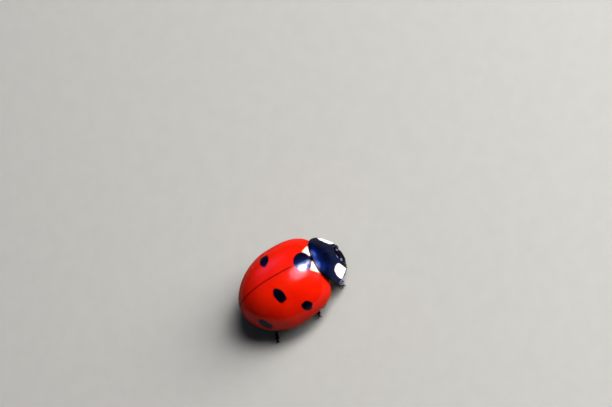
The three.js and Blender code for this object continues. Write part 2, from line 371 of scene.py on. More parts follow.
def spot_distance(points, centre, axes, turn):
    """Signed distance in mm from a spot's edge, along the shell."""
    f, l = centre
    h = 0.01
    slope_f = np.array([2 * h, 0, float(dome_top(f + h, l) - dome_top(f - h, l))])
    slope_l = np.array([0, 2 * h, float(dome_top(f, l + h) - dome_top(f, l - h))])
    outward, normal = unit(slope_l), unit(np.cross(slope_f, slope_l))
    forward = np.cross(outward, normal)
    if forward[0] < 0:
        forward = -forward
    a = np.radians(turn)
    major = outward * np.cos(a) + forward * np.sin(a)
    minor = np.cross(normal, major)
    d = points - np.array([f, l, float(dome_top(f, l))])
    x, y, z = d @ major / axes[0], d @ minor / axes[1], d @ normal
    angle = np.arctan2(y, x)
    wobble = 1 + 0.035 * np.cos(3 * angle + f) + 0.03 * np.cos(5 * angle + 2 * l)
    reach = (np.abs(x) ** SPOT_POWER + np.abs(y) ** SPOT_POWER) ** (1 / SPOT_POWER)
    return (reach / wobble - 1) * min(axes) + np.where(np.abs(z) > SPOT_DEPTH, 1.0, 0.0)


def wing_marks(points, side):
    """Signed distances from the edges of the black spots and of the pale patch at the base, in mm."""
    f, l = points[..., 0], points[..., 1]
    black = np.min([spot_distance(points, *spot) for spot in SPOTS[side]], axis=0)
    (cf, cl), (af, al) = SCUTELLAR_SPOT
    heart = (np.sqrt(((f - cf) / af) ** 2 + ((l - cl) / al) ** 2) - 1) * af
    # the heart runs on forward beside the scutellum
    neck = np.maximum(l - 0.2 - 0.1 * smooth(-0.1, -0.4, f), -0.4 - f)
    black = np.minimum(black, np.minimum(heart, neck))
    return black, inside(f, l, BASE_PATCH, 0.12) + 0.015 * ripple(points, 0.3, 5)


# ------------------------------------------------ wing cases

# Grooves of the shell as (height, place, width): the one inside the raised margin, by height above the rim,
# and the one along the suture, by distance from it.
MARGIN_GROOVE = (-0.034, 0.15, 0.075)
SUTURE_GROOVE = (-0.008, 0.09, 0.05)
SHIELD_GAP = 0.035  # between the shield's rear edge and the wing cases
SUTURE_ANGLES = (0.0, 0.002, 0.005, 0.009, 0.014, 0.02, 0.028)  # of the close lines of mesh beside it
WING_LINES, WING_RINGS = 110, 190


def front_end(angle):
    """Where a line of the dome at this angle meets the neck shield's rear edge."""
    low, high = np.full_like(angle, WIDEST), np.full_like(angle, WIDEST + FRONT - 1e-4)
    for _ in range(40):
        middle = (low + high) / 2
        _, left, up = np.moveaxis(dome(middle, angle), -1, 0)
        rounding = SHOULDER_CUT * np.clip(1 - up / SHOULDER_HEIGHT, 0, 1) ** SHOULDER_POWER
        room = np.minimum(shield_rear(left / SHIELD_HALF) - SHIELD_GAP, SHOULDER_TOP + 0.06 - rounding)
        ahead = middle > room
        low, high = np.where(ahead, low, middle), np.where(ahead, middle, high)
    return (low + high) / 2


def shell_relief(rows, near):
    """How far a wing case stands out from the plain dome: its grooves, the rounded edge along the suture and
    an uneven surface. near fades to 0 where the dome narrows to a point."""
    f, l, u = np.moveaxis(rows, -1, 0)
    relief = ridge(u, *MARGIN_GROOVE) * near
    relief += -0.006 + 0.006 * ripple(rows, 1.7, 3) * near
    relief += -0.01 * np.exp(-l / 0.02) * smooth(-0.6, -1.6, f)
    return relief + ridge(l, *SUTURE_GROOVE) * smooth(-1.0, -2.5, f)


def turned_base(outer):
    """Further rings at the front of a wing case, where its base turns in below the neck shield."""
    ahead = unit(outer[-1] - outer[-2])
    inward = -unit(np.cross(np.gradient(outer[-1], axis=0), ahead))
    inward = np.where((inward @ [0, 0.4, 1])[:, None] > 0, -inward, inward)
    roll = np.linspace(0, np.pi / 2, 6)[1:, None, None]
    base = outer[-1] + 0.05 * np.sin(roll) * ahead + 0.07 * (1 - np.cos(roll)) * inward
    return base, base[-1] + inward * np.array([0.06, 0.14])[:, None, None]


def turned_rim(outer, end):
    """The rim turned under a wing case, and its inner face."""
    wall = np.minimum(WALL, 0.55 * half_width(np.minimum(outer[..., 0], end[None])))[:, -1:]
    shrink = 1 - wall / np.maximum(outer[:, -1:, 1], 0.02)
    inner = outer[:, ::-3] * [1, 1, 0.93]
    inner[..., 1] = np.maximum(inner[..., 1] * shrink, outer[:, :1, 1])
    inner[..., 2] += 0.05 * smooth(0, 0.4, wall)
    share = np.array([0.03, 0.1, 0.35, 0.75])
    rim = outer[:, -1:] + (inner[:, :1] - outer[:, -1:]) * share[None, :, None]
    rim[..., 2] = np.array([0.0, 0.0, 0.03, 0.035]) * smooth(0, 0.3, wall)
    return rim, inner


def wing_case(name, side):
    angle = np.concatenate([SUTURE_ANGLES, np.linspace(0.04, np.pi / 2, WING_LINES)])
    run = 1 - np.cos(np.linspace(0, np.pi / 2, WING_RINGS))
    run[0] = 1e-5  # the first ring is tiny, but not a point
    end = front_end(angle)
    f = TAIL + (end[None] - TAIL) * run[:, None]
    outer = dome(f, np.broadcast_to(angle, f.shape))
    width = half_width(f)
    near = np.clip(width / 1.2, 0, 1)
    # roughly straight out of the shell
    out = unit(stack(0 * f, outer[..., 1] / np.maximum(width, 0.05) ** 2, outer[..., 2] / 6))
    outer = outer + out * shell_relief(outer, near)[..., None]
    outer[..., 1] = np.maximum(outer[..., 1], SUTURE * near)
    outer = np.concatenate([outer, *turned_base(outer)])
    outer[..., 2] = np.maximum(outer[..., 2], 0.0)
    rows = np.concatenate([outer, *turned_rim(outer, end)], 1)
    black, pale = wing_marks(rows, side)
    under = np.zeros(rows.shape[:2])
    under[:, outer.shape[1] :] = 1
    values = {"black": black, "pale": pale, "under": under, "margin": gauss(rows[..., 2] - 0.05, 0.09)}
    values |= {"height": rows[..., 2], "seam": rows[..., 1]}
    return loft(name, rows * [1, side, 1], values)


SCUTELLUM_BASE, SCUTELLUM_APEX, SCUTELLUM_HALF = 0.13, -0.4, 0.21
SCUTELLUM_SUNK, SCUTELLUM_BULGE, SCUTELLUM_DEPTH = 0.02, 0.032, 0.25


def scutellum():
    run = np.linspace(0, 1, 26)[:, None]
    across = np.sin(np.linspace(-np.pi / 2, np.pi / 2, 25))[None]
    f = SCUTELLUM_APEX + (SCUTELLUM_BASE - SCUTELLUM_APEX) * run
    l = SCUTELLUM_HALF * np.minimum(run * 1.05, 1) * across * (1 - 0.06 * smooth(0.9, 1, run))
    bulge = np.sqrt(np.clip(1 - across**2, 0, 1)) * smooth(0, 0.15, run) * smooth(1.0, 0.96, run)
    top = stack(f, l, dome_top(f, np.abs(l)) - SCUTELLUM_SUNK + SCUTELLUM_BULGE * bulge**0.6)
    return loft("scutellum_plate", np.concatenate([top, top[:, ::-1] - SCUTELLUM_DEPTH * UP], 1))


# ------------------------------------------------ neck shield

# The outline of the pale patch at each front corner, in plan.
CORNER_PATCHES = {
    -1: ((1.39, 0.69), (1.06, 1.0), (0.87, 1.6), (1.02, 1.8), (1.58, 1.25)),
    1: ((1.39, 0.83), (1.06, 1.13), (0.72, 1.75), (0.95, 2.3), (1.58, 1.25)),
}
SHIELD_ROWS, SHIELD_ACROSS = 72, 141
# Grooves of the shield as (height, place, width), by distance from its side edges and from its rear one.
SHIELD_SIDE_GROOVE = (-0.022, 0.13, 0.05)
SHIELD_REAR_GROOVE = (-0.008, 0.2, 0.08)
SIDE_ROUNDING, END_ROUNDING = 0.06, 0.07


def neck_shield():
    across = np.sin(np.linspace(-1, 1, SHIELD_ACROSS) * np.pi / 2)[None] * np.ones((SHIELD_ROWS, 1))
    along = (0.5 - 0.5 * np.cos(np.linspace(0, np.pi, SHIELD_ROWS)))[:, None] * np.ones((1, SHIELD_ACROSS))
    # rounded corners
    t = 2 * along - 1
    s = across * (1 - 0.04 * np.abs(t) ** 8 * along)
    t = t * (1 - 0.02 * np.abs(across) ** 10 - 0.03 * along * np.abs(across) ** 8)
    top = shield_top(s, (t + 1) / 2)
    side_room = shield_half(along) * (1 - np.abs(across))
    length = SHIELD_FRONT - SHIELD_REAR
    rear_room = along * length
    rim = lambda room, radius: np.sqrt(1 - (1 - np.clip(room / radius, 0, 1)) ** 2)
    fullness = rim(side_room, SIDE_ROUNDING) * rim(rear_room, END_ROUNDING)
    fullness *= rim((1 - along) * length, END_ROUNDING)
    thick = SHIELD_THINNEST + (SHIELD_THICKNESS - SHIELD_THINNEST) * ((1 - across**2) * (1 - along))
    middle = top[..., 2] - thick / 2
    relief = ridge(side_room, *SHIELD_SIDE_GROOVE) * (1 - 0.5 * along)
    relief += ridge(rear_room, *SHIELD_REAR_GROOVE) * (1 - np.abs(across) ** 6)
    relief += 0.006 * ripple(top, 0.9, 8) - 0.004
    upper = stack(top[..., 0], top[..., 1], middle + (thick / 2 + relief) * fullness)
    lower = stack(top[..., 0], top[..., 1], middle - thick / 2 * fullness)[:, ::-1]
    rows = np.concatenate([upper, lower], 1)
    patch = [inside(rows[..., 0], rows[..., 1] * side, CORNER_PATCHES[side], 0.16) for side in (-1, 1)]
    pale = np.minimum(*patch) + 0.01 * ripple(rows, 0.35, 2)
    # painted shade: a strip along the rear edge, wider towards the sides, that the look colours near black
    rear_shade = rear_room / (0.1 + 0.12 * across**2)
    return loft("neck_shield", rows, {"pale": pale, "rear_shade": np.concatenate([rear_shade, 0 * rear_shade], 1)})


# ------------------------------------------------ head


def ball(power, rows, around):
    """Rings of a unit ball from its rear to its front, boxier where the power is above 2."""
    lat = np.linspace(0, np.pi, rows)[:, None]
    lon = np.linspace(0, 2 * np.pi, around, endpoint=False)[None]
    ring = np.sin(lat)
    return stack(-np.cos(lat), ring * bend(np.cos(lon), 2 / power), ring * bend(np.sin(lon), 2 / power))


def egg(centre, reach, rings):
    """Rings of a unit ball drawn out to a reach of (rear, front, half width, height, depth)."""
    rear, front, half, height, depth = reach
    f, l, u = np.moveaxis(rings, -1, 0)
    f, u = np.where(f > 0, f * front, f * rear), np.where(u > 0, u * height, u * depth)
    return stack(centre[0] + f, centre[1] + l * half, centre[2] + u)


HEAD_CENTRE = (1.12, 0.0, -0.38)
HEAD_REACH = (0.45, 0.59, 0.84, 0.5, 0.58)
# The left pale spot of the head: its centre, and its radius once distances are stretched by its shape.
HEAD_SPOT, HEAD_SPOT_RADIUS, HEAD_SPOT_SHAPE = (1.52, 0.4, -0.13), 0.12, (1.5, 0.95, 1.5)
FEELER_SOCKET = (0.5, -0.62)  # left and up
EYE_CENTRE = (1.36, 0.74, -0.34)
EYE_REACH = (0.3, 0.28, 0.21, 0.33, 0.33)
FACETS = 900  # all round an eye
LABRUM_CENTRE = (1.34, 0, -0.88)
LABRUM_REACH = (0.24, 0.23, 0.36, 0.13, 0.12)


def head():
    rows = egg(HEAD_CENTRE, HEAD_REACH, ball(2.4, 110, 150))
    f, l, u = np.moveaxis(rows, -1, 0)
    normal = unit((rows - HEAD_CENTRE) / [0.3, 0.7, 0.3])
    face = smooth(1.2, 1.4, f)
    # the frons is flat, a groove sets off the clypeus below it, and each feeler has a socket
    dent = -0.03 * smooth(1.3, 1.5, f) * gauss(u + 0.3, 0.22) * gauss(l, 0.5)
    dent += -0.02 * gauss(u + 0.62 - 0.18 * np.abs(l), 0.03) * face * (np.abs(l) < 0.6)
    for side in (1, -1):
        socket = np.hypot(l - FEELER_SOCKET[0] * side, u - FEELER_SOCKET[1])
        dent += -0.05 * gauss(socket, 0.1) * face
    dent += 0.004 * ripple(rows, 0.25, 4) - 0.004
    rows = rows + normal * dent[..., None]
    spots = [np.linalg.norm((rows * [1, w, 1] - HEAD_SPOT) * HEAD_SPOT_SHAPE, axis=-1) for w in (1, -1)]
    return loft("head_capsule", rows, {"pale": np.minimum(*spots) - HEAD_SPOT_RADIUS})


def eye(name, side):
    """An eye of many facets, each a low dome around its own lens."""
    rings = ball(2, 120, 170)
    k = np.arange(FACETS) + 0.5
    z = 1 - 2 * k / FACETS
    turn = np.pi * (1 + 5**0.5) * k
    lens = np.stack([np.sqrt(1 - z * z) * np.cos(turn), np.sqrt(1 - z * z) * np.sin(turn), z], 1)
    near = np.max(rings.reshape(-1, 3) @ lens.T, axis=1).reshape(rings.shape[:2])
    gap = np.sqrt(np.clip(2 - 2 * near, 0, None))
    rings = rings * (1.0 - 2.6 * gap**2)[..., None]
    return loft(name, egg(EYE_CENTRE, EYE_REACH, rings) * [1, side, 1])


def labrum():
    rows = egg(LABRUM_CENTRE, LABRUM_REACH, ball(2.8, 50, 60))
    f, l, _ = np.moveaxis(rows, -1, 0)
    rows[..., 2] -= 0.03 * gauss(l, 0.06) * smooth(1.4, 1.57, f)
    return loft("labrum_plate", rows)


ANTENNA_PATH = ((1.38, 0.5, -0.6), (1.34, 0.74, -0.84), (1.12, 0.92, -0.98), (0.82, 1.0, -1.04))
PALP_PATH = ((1.08, 0.36, -0.9), (1.2, 0.52, -1.04), (1.36, 0.5, -1.12))
MANDIBLE_PATH = ((1.12, 0.26, -0.96), (1.3, 0.26, -1.06), (1.46, 0.15, -1.1))
# Lengths and widest radii of a feeler's eleven joints, from the head out.
FEELER_JOINTS = (
    (0.15, 0.085), (0.09, 0.065), (0.11, 0.052), (0.08, 0.05), (0.08, 0.052), (0.07, 0.055),
    (0.07, 0.06), (0.07, 0.07), (0.1, 0.105), (0.09, 0.115), (0.1, 0.095),
)
# Profiles of the mouthparts, as (share of the length, radius).
PALP_STALK = (
    (0, 0.06), (0.12, 0.07), (0.3, 0.075), (0.36, 0.055), (0.42, 0.075), (0.62, 0.09), (0.7, 0.06),
    (0.76, 0.06),
)
PALP_BLADE = ((0.66, 0.05), (0.78, 0.1), (0.9, 0.16), (0.97, 0.165), (1.0, 0.12))
MANDIBLE = ((0, 0.11), (0.3, 0.135), (0.6, 0.12), (0.8, 0.085), (0.93, 0.05), (1, 0.02))
# A joint of a feeler, as (share of the joint, share of its widest radius).
BEAD = ((0.06, 0.62), (0.35, 0.86), (0.72, 1.0), (0.92, 0.9), (0.98, 0.62))


def beads(joints):
    """The profile of a limb made of joints that swell towards their outer ends."""
    total = sum(length for length, _ in joints)
    profile, done = [], 0.0
    for length, radius in joints:
        profile += [((done + share * length) / total, radius * swelling) for share, swelling in BEAD]
        done += length
    return profile


def mirror(path, side):
    return [(f, l * side, u) for f, l, u in path]


def feeler(name, side):
    return loft(name, limb(mirror(ANTENNA_PATH, side), beads(FEELER_JOINTS), 60, 20, 0.82))


def palp(name, side):
    path = mirror(PALP_PATH, side)
    return joined(name, [limb(path, PALP_STALK, 40, 18), limb(path, PALP_BLADE, 40, 22, 0.55)])


def mandible(name, side):
    return loft(name, limb(mirror(MANDIBLE_PATH, side), MANDIBLE, 40, 20, 0.7))


# ------------------------------------------------ underside

CORE_TAIL = TAIL + CORE
# Where the hips are let into the underside, forward and left, from the front pair to the hind one.
HIPS = ((0.4, 0.45), (-0.95, 0.75), (-2.5, 0.85))


def body_rows(f, relief):
    """Closed rings of the body: the belly with its relief, then the roof hidden by the wing cases."""
    turn = np.linspace(-np.pi / 2, np.pi / 2, 121)[None] * np.ones((len(f), 1))
    run = f[:, None] * np.ones((1, 121))
    under = dome(run, turn, -BELLY_DEPTH, CORE)
    under[..., 2] += relief(under[..., 0], under[..., 1]) * np.cos(turn) ** 0.5
    roof = dome(run[:, 1:-1:4], turn[:, 1:-1:4][:, ::-1], HEIGHT - CORE, CORE)
    return np.concatenate([under, roof], 1)


PLATE_FIRST, PLATE_LENGTH, PLATES = -2.75, 0.55, 5
PLATE_STEP = 0.075  # from one plate of the belly down to the next


def abdomen():
    def relief(f, l):
        """Each plate thins towards the next, whose edge it covers."""
        bowed = f + 0.06 * l**2 * smooth(-2.8, -3.6, f)
        plate = (PLATE_FIRST - bowed) / PLATE_LENGTH
        share = np.where((plate > 0) & (plate < PLATES), plate % 1, 0)
        step = PLATE_STEP * share**3 - 0.012
        step += 0.03 * gauss(np.abs(l) - 1.75, 0.12) * smooth(0.1, 0.3, share) * smooth(1, 0.8, share)
        return step + 0.006 * ripple(stack(f, l, 0 * f), 0.6, 9)

    run = np.linspace(0, 1, 260)
    f = WAIST - 0.02 + (CORE_TAIL - WAIST + 0.021) * np.sin(run * np.pi / 2)
    return loft("abdomen_plates", body_rows(f, relief))


# Sutures between the plates under the thorax, in plan, for one side.
THORAX_SUTURES = (
    ((-2.55, 0.0), (-1.35, 0.0)),
    ((-2.35, 1.72), (-0.75, 1.82)),
    ((-0.75, 1.82), (-0.45, 1.2)),
    ((-0.45, 1.2), (-0.15, 0.75)),
    ((-1.32, 0.0), (-1.25, 0.45)),
    ((-0.95, 1.3), (-0.45, 1.2)),
    ((-0.75, 1.82), (-0.55, 2.3)),
    ((-2.3, 0.3), (-2.5, 1.1)),
)
SEAM_DEPTH, SEAM_WIDTH = 0.035, 0.035
# The pale plate before the middle leg's hip, as corners in plan.
EPIMERON = ((-0.78, 1.75), (-0.5, 1.32), (-0.12, 1.5), (-0.2, 2.05), (-0.5, 2.25))


def thorax():
    def relief(f, l):
        wide = np.abs(l)
        step = 0.012 * ripple(stack(f, l, 0 * f), 0.7, 6)
        for start, end in THORAX_SUTURES:
            step += SEAM_DEPTH * gauss(segment_distance(f, wide, start, end), SEAM_WIDTH)
        for hip in HIPS:
            step += 0.07 * gauss(np.hypot(f - hip[0], wide - hip[1]), 0.3)
        return step - 0.03 * smooth(0.06, -0.04, inside(f, wide, EPIMERON))

    f = np.linspace(0.02, WAIST + 0.02, 230)
    rows = body_rows(f, relief)
    pale = inside(rows[..., 0], np.abs(rows[..., 1]), EPIMERON) + 0.02
    return loft("thorax_plates", rows, {"pale": np.where(rows[..., 2] < 0.1, pale, 1)})


PROTHORAX_CENTRE = (0.62, 0, 0)
PROTHORAX_REACH = (0.8, 0.7, 1.5, 0.9, 0.56)


def prothorax():
    rows = egg(PROTHORAX_CENTRE, PROTHORAX_REACH, ball(2, 90, 120))
    f, l, u = np.moveaxis(rows, -1, 0)
    wide, low = np.abs(l), smooth(0, -0.3, u)
    # hollows for the hips, two lines along the middle and a suture at each side, and room for the head
    dent = 0.04 * gauss(np.hypot(f - HIPS[0][0], wide - HIPS[0][1]), 0.28) * low
    dent += 0.03 * gauss(np.abs(wide - 0.14 - 0.1 * (f - 0.4)), 0.03) * low * smooth(1.1, 0.9, f)
    dent += 0.03 * gauss(segment_distance(f, wide, (0.2, 0.75), (0.95, 1.2)), SEAM_WIDTH) * low
    rows[..., 2] += dent + 0.006 * ripple(rows, 0.4, 7)
    rows[..., 0] -= 0.12 * (smooth(1.0, 1.25, f) * gauss(l, 0.9))
    return loft("prothorax_plates", rows)


# ------------------------------------------------ legs

TOE = 0.17 - STANCE
LEGS = {
    "front_right": ((0.4, -0.45, -0.5), (0.755, -1.75, -0.46), (0.22, -0.95, TOE), (0.58, -1.7, TOE)),
    "front_left": ((0.4, 0.45, -0.5), (0.7, 1.62, -0.46), (0.14, 1.0, TOE), (0.62, 1.68, TOE)),
    "middle_right": ((-0.95, -0.75, -0.55), (-1.06, -2.56, -0.34), (-1.82, -1.84, TOE), (-1.9, -2.7, TOE)),
    "middle_left": ((-0.95, 0.75, -0.55), (-0.95, 2.5, -0.34), (-1.44, 2.02, TOE), (-1.76, 2.84, TOE)),
    "hind_right": ((-2.5, -0.85, -0.58), (-4.02, -2.5, -0.36), (-5.14, -1.68, TOE), (-5.37, -2.62, TOE)),
    "hind_left": ((-2.5, 0.85, -0.58), (-3.8, 2.5, -0.36), (-4.66, 1.96, TOE), (-5.1, 2.76, TOE)),
}
# How thick the parts of a leg are along their length, as (share of the length, radius). The femur starts with
# the trochanter, and the foot has a broad joint, one with two lobes and a slender one.
COXA = ((0, 0.1), (0.2, 0.22), (0.5, 0.27), (0.8, 0.22), (1, 0.12))
FEMUR = (
    (0.0, 0.1), (0.05, 0.17), (0.1, 0.15), (0.13, 0.14), (0.2, 0.19), (0.4, 0.235), (0.6, 0.255), (0.8, 0.25),
    (0.92, 0.23), (1.0, 0.19),
)
TIBIA = ((0.0, 0.12), (0.06, 0.15), (0.14, 0.13), (0.35, 0.14), (0.7, 0.15), (0.92, 0.16), (1.0, 0.12))
SPUR = ((0, 0.025), (0.6, 0.018), (1, 0.004))
BROAD_JOINT = ((0, 0.07), (0.5, 0.1), (0.85, 0.125), (1, 0.1))
LOBE = ((0, 0.05), (0.4, 0.075), (0.8, 0.075), (1, 0.045))
SLENDER_JOINT = ((0, 0.04), (0.4, 0.045), (0.8, 0.062), (1, 0.05))
CLAW = ((0, 0.034), (0.5, 0.03), (0.8, 0.02), (1, 0.006))
TOOTH = ((0, 0.026), (0.6, 0.02), (1, 0.006))


def hip_joint(name, leg):
    """The coxa, an egg let into the underside."""
    hip, knee = np.array(leg[:2])
    out = unit(knee - hip)
    path = [hip - out * 0.42 + 0.02 * UP, hip - out * 0.1, hip + out * 0.14]
    return loft(name, limb(path, COXA, 30, 24, 0.75))


def femur(name, leg):
    return loft(name, limb(leg[:2], FEMUR, 60, 32, 0.85))


def shank(name, leg):
    """The tibia, with two spurs at its end."""
    knee, ankle = np.array(leg[1:3])
    out = unit(ankle - knee)
    side = unit(np.cross(out, UP))
    middle = (knee + ankle) / 2 + unit(np.cross(side, out)) * 0.03
    pieces = [limb([knee, middle, ankle], TIBIA, 50, 24, 0.9)]
    for way in (-1, 1):
        root = ankle - out * 0.08 + side * way * 0.09
        tip = root + out * 0.2 + side * way * 0.03
        pieces.append(limb([root, (root + tip) / 2, tip], SPUR, 10, 8))
    return joined(name, pieces)


def claws(toe, out):
    """Two hooked claws, each with a tooth at its base."""
    side = unit(np.cross(out, UP))
    pieces = []
    for way in (-1, 1):
        root = toe - out * 0.2 + side * way * 0.02 - 0.02 * UP
        hook = root + out * 0.13 + side * way * 0.07 + 0.01 * UP
        tip = toe + side * way * 0.13 - 0.145 * UP
        tooth = root + out * 0.07 + side * way * 0.05 - 0.1 * UP
        ahead = out * 0.03
        pieces.append(limb([root, hook, tip], CLAW, 20, 10))
        pieces.append(limb([root + ahead, (root + tooth) / 2 + ahead, tooth], TOOTH, 12, 8))
    return pieces


def tarsus(name, leg):
    """The joints of the foot and its claws, kept above the floor."""
    ankle, toe = np.array(leg[2:])
    out = unit(toe - ankle)
    side = unit(np.cross(out, UP))
    span = np.linalg.norm(toe - ankle)
    at = lambda share, up, across=0.0: ankle + out * span * share + side * across + up * UP
    pieces = [limb([at(0.03, 0.0), at(0.2, -0.02), at(0.4, -0.045)], BROAD_JOINT, 30, 20, 0.75)]
    for way in (-1, 1):
        path = [at(0.34, -0.03, 0.01 * way), at(0.48, -0.05, 0.04 * way), at(0.66, -0.09, 0.085 * way)]
        pieces.append(limb(path, LOBE, 26, 16, 0.8))
    path = [at(0.42, -0.02), at(0.6, 0.01), at(0.78, 0.01), at(0.93, -0.02)]
    pieces.append(limb(path, SLENDER_JOINT, 30, 16))
    lowest = (-np.inf, -np.inf, -STANCE)
    return joined(name, [np.maximum(rows, lowest) for rows in pieces + claws(toe, out)])


# ------------------------------------------------ bristles


STRIPS = 24  # bands of the hairs' UV map, four for each leg
HAIR_RADIUS = 0.0075
HAIR_CLEARANCE = 0.004  # least height above the floor
HAIR_PATCH = 0.003  # width of each hair's patch of the UV map
PATCH_CORNERS = ((0, 0), (1, 0), (1, 1), (0, 1))


class Bristles:
    """Many small tapering hairs, gathered into one mesh with a UV patch for each."""

    def __init__(self, seed):
        self.rng = np.random.default_rng(seed)
        self.points, self.faces, self.uvs = [], [], []

    def add(self, root, direction, length, uv):
        """A three-sided hair that bows a little, about as long as asked."""
        length = length * self.rng.uniform(0.7, 1.2)
        side = unit(np.cross(direction, [0.3, 0.5, 0.8]))
        other = unit(np.cross(direction, side))
        bow = unit(direction) * length * 0.55 + other * length * 0.07
        base = len(self.points)
        mid, tip = base + 3, base + 6
        for middle, r in ((root, HAIR_RADIUS), (root + bow, HAIR_RADIUS * 0.75)):
            for a in 2 * np.pi * np.arange(3) / 3:
                self.points.append(middle + (side * np.cos(a) + other * np.sin(a)) * r)
        self.points.append(root + unit(direction) * length)
        faces = [(base, base + 2, base + 1)]
        for k, n in ((0, 1), (1, 2), (2, 0)):
            faces += [(base + k, base + n, mid + n, mid + k), (mid + k, mid + n, tip)]
        for face in faces:
            for x, y in PATCH_CORNERS[: len(face)]:
                self.uvs += [uv[0] + HAIR_PATCH * x, uv[1] + HAIR_PATCH * y]
        self.faces += faces

    def along(self, places, profile, count, length, lean, strip, low=-1.0, high=1.0, flatness=1.0, start=0.06):
        """Hairs over a limb, from the start share of it on. lean lays them along it. low and high bound how
        far up its girth they stand, from -1 below to 1 above."""
        line = curve(places, 200)
        tangent, wide, thin = frames(line)
        share, radius = np.array(profile, float).T
        for _ in range(count):
            t = self.rng.uniform(start, share[-1] - 0.03)
            i = int(t * (len(line) - 1))
            lift = self.rng.uniform(low, high)
            turn = self.rng.choice((-1, 1)) * np.sqrt(max(0.0, 1 - lift * lift))
            out = wide[i] * turn + thin[i] * lift
            root = line[i] + (wide[i] * turn + thin[i] * lift * flatness) * np.interp(t, share, radius) * 0.97
            around = (np.arctan2(lift, turn) / (2 * np.pi)) % 1
            uv = (0.02 + 0.96 * t, (strip + 0.1 + 0.8 * around) / STRIPS)
            self.add(root, out + tangent[i] * lean, length, uv)

    def knob(self, centre, axis, radius, count, length, strip):
        """Hairs laid flat over the round end of a limb."""
        for _ in range(count):
            way = unit(self.rng.normal(size=3))
            if way @ axis < 0:
                way = -way
            uv = (0.98, (strip + 0.1 + 0.8 * self.rng.uniform()) / STRIPS)
            lie = unit(np.cross(way, [0.2, 0.9, 0.3]))
            self.add(centre + way * radius, way + lie * 1.6, length, uv)

    def build(self, name):
        points = np.array(self.points)
        points[:, 2] = np.maximum(points[:, 2], HAIR_CLEARANCE - STANCE)
        data = bpy.data.meshes.new(name)
        data.from_pydata(put(points).tolist(), [], self.faces)
        data.uv_layers.new(name="OFBake").data.foreach_set("uv", self.uvs)
        data.polygons.foreach_set("use_smooth", [True] * len(data.polygons))
        data.update()
        return shown(name, data)


SOLE = ((0, 0.07), (0.5, 0.12), (1, 0.13))
FOOT_END = ((0, 0.05), (1, 0.06))


def leg_bristles():
    hairs = Bristles(11)
    for n, leg in enumerate(LEGS.values()):
        hip, knee, ankle, toe = np.array(leg)
        out, strip = unit(knee - hip), 4 * n
        # painted highlight: pale hairs gather thickly on the front right knee and stand in for the light that
        # catches it; elsewhere they are the legs' own pale hairs
        many = 600 if n == 0 else 140  # most on the front right knee, which is the one in sight
        hairs.along([hip, knee], FEMUR, many, 0.07, 2.2, strip, low=-0.4, flatness=0.85, start=0.6)
        hairs.knob(knee - out * 0.1, out, 0.215, many * 3 // 4, 0.065, strip)
        hairs.along([knee, (knee + ankle) / 2, ankle], TIBIA, 70, 0.07, 2.0, strip + 1)
        sole = [ankle - 0.02 * UP, ankle * 0.6 + toe * 0.4 - 0.05 * UP, (ankle + toe) / 2 - 0.06 * UP]
        hairs.along(sole, SOLE, 90, 0.045, 1.2, strip + 2, high=-0.1, flatness=0.7)
        hairs.along([ankle * 0.5 + toe * 0.5, toe], FOOT_END, 14, 0.04, 2.2, strip + 3)
    return hairs.build("leg_bristles")


# ------------------------------------------------ materials


class Look:
    """A principled material and short ways to wire its nodes."""

    def __init__(self, name, **numbers):
        self.material = bpy.data.materials.new(name)
        self.material.use_nodes = True
        self.tree = self.material.node_tree
        self.shader = self.tree.nodes["Principled BSDF"]
        for key, value in numbers.items():
            self.shader.inputs[key.replace("_", " ")].default_value = value
        self.place = self.node("ShaderNodeTexCoord").outputs["Object"]

    def node(self, kind, inputs=None, **settings):
        made = self.tree.nodes.new(kind)
        for key, value in settings.items():
            setattr(made, key, value)
        for key, value in (inputs or {}).items():
            if isinstance(value, bpy.types.NodeSocket):
                self.tree.links.new(value, made.inputs[key])
            else:
                made.inputs[key].default_value = value
        return made

    def wire(self, value, socket):
        self.tree.links.new(value, self.shader.inputs[socket])

    def attribute(self, name):
        return self.node("ShaderNodeAttribute", attribute_name=name).outputs["Fac"]

    def span(self, value, low, high, to_low=0.0, to_high=1.0):
        inputs = {"Value": value, "From Min": low, "From Max": high, "To Min": to_low, "To Max": to_high}
        return self.node("ShaderNodeMapRange", inputs, interpolation_type="SMOOTHSTEP").outputs["Result"]

    def noise(self, size, detail=3.0):
        """Noise with features of about the given size in mm."""
        inputs = {"Vector": self.place, "Scale": 1 / (size * MM), "Detail": detail, "Roughness": 0.55}
        return self.node("ShaderNodeTexNoise", inputs).outputs["Fac"]

    def cells(self, size):
        inputs = {"Vector": self.place, "Scale": 1 / (size * MM)}
        return self.node("ShaderNodeTexVoronoi", inputs).outputs["Distance"]

    def mix(self, share, a, b):
        # a Mix node's inputs 0, 6 and 7 and output 2 are the ones for colours
        return self.node("ShaderNodeMix", {0: share, 6: a, 7: b}, data_type="RGBA").outputs[2]

    def math(self, operation, *values):
        return self.node("ShaderNodeMath", dict(enumerate(values)), operation=operation).outputs[0]

    def mottle(self, a, b, size, detail=3.0, low=0.3, high=0.7):
        """Two sRGB colours, in patches of about the given size in mm."""
        return self.mix(self.span(self.noise(size, detail), low, high), rgb(*a), rgb(*b))

    def frayed(self, mark, blur, depth=0.05):
        """The signed distance from a marking's edge, made uneven by about the depth in mm."""
        uneven = self.math("MULTIPLY", self.math("SUBTRACT", blur, 0.5), depth)
        return self.math("ADD", self.attribute(mark), uneven)

    def bump(self, *layers):
        """Bumps of (height, how high in mm), one over the other, on the shader and its coat."""
        below = {}
        for height, depth in layers:
            inputs = {"Height": height, "Distance": depth * MM, "Strength": 1.0, **below}
            below = {"Normal": self.node("ShaderNodeBump", inputs).outputs["Normal"]}
        self.wire(below["Normal"], "Normal")
        self.wire(below["Normal"], "Coat Normal")


def rgb(red, green, blue):
    """An sRGB colour of 0 to 255 as linear with alpha."""
    shares = (c / 255 for c in (red, green, blue))
    return (*(c / 12.92 if c <= 0.04045 else ((c + 0.055) / 1.055) ** 2.4 for c in shares), 1.0)


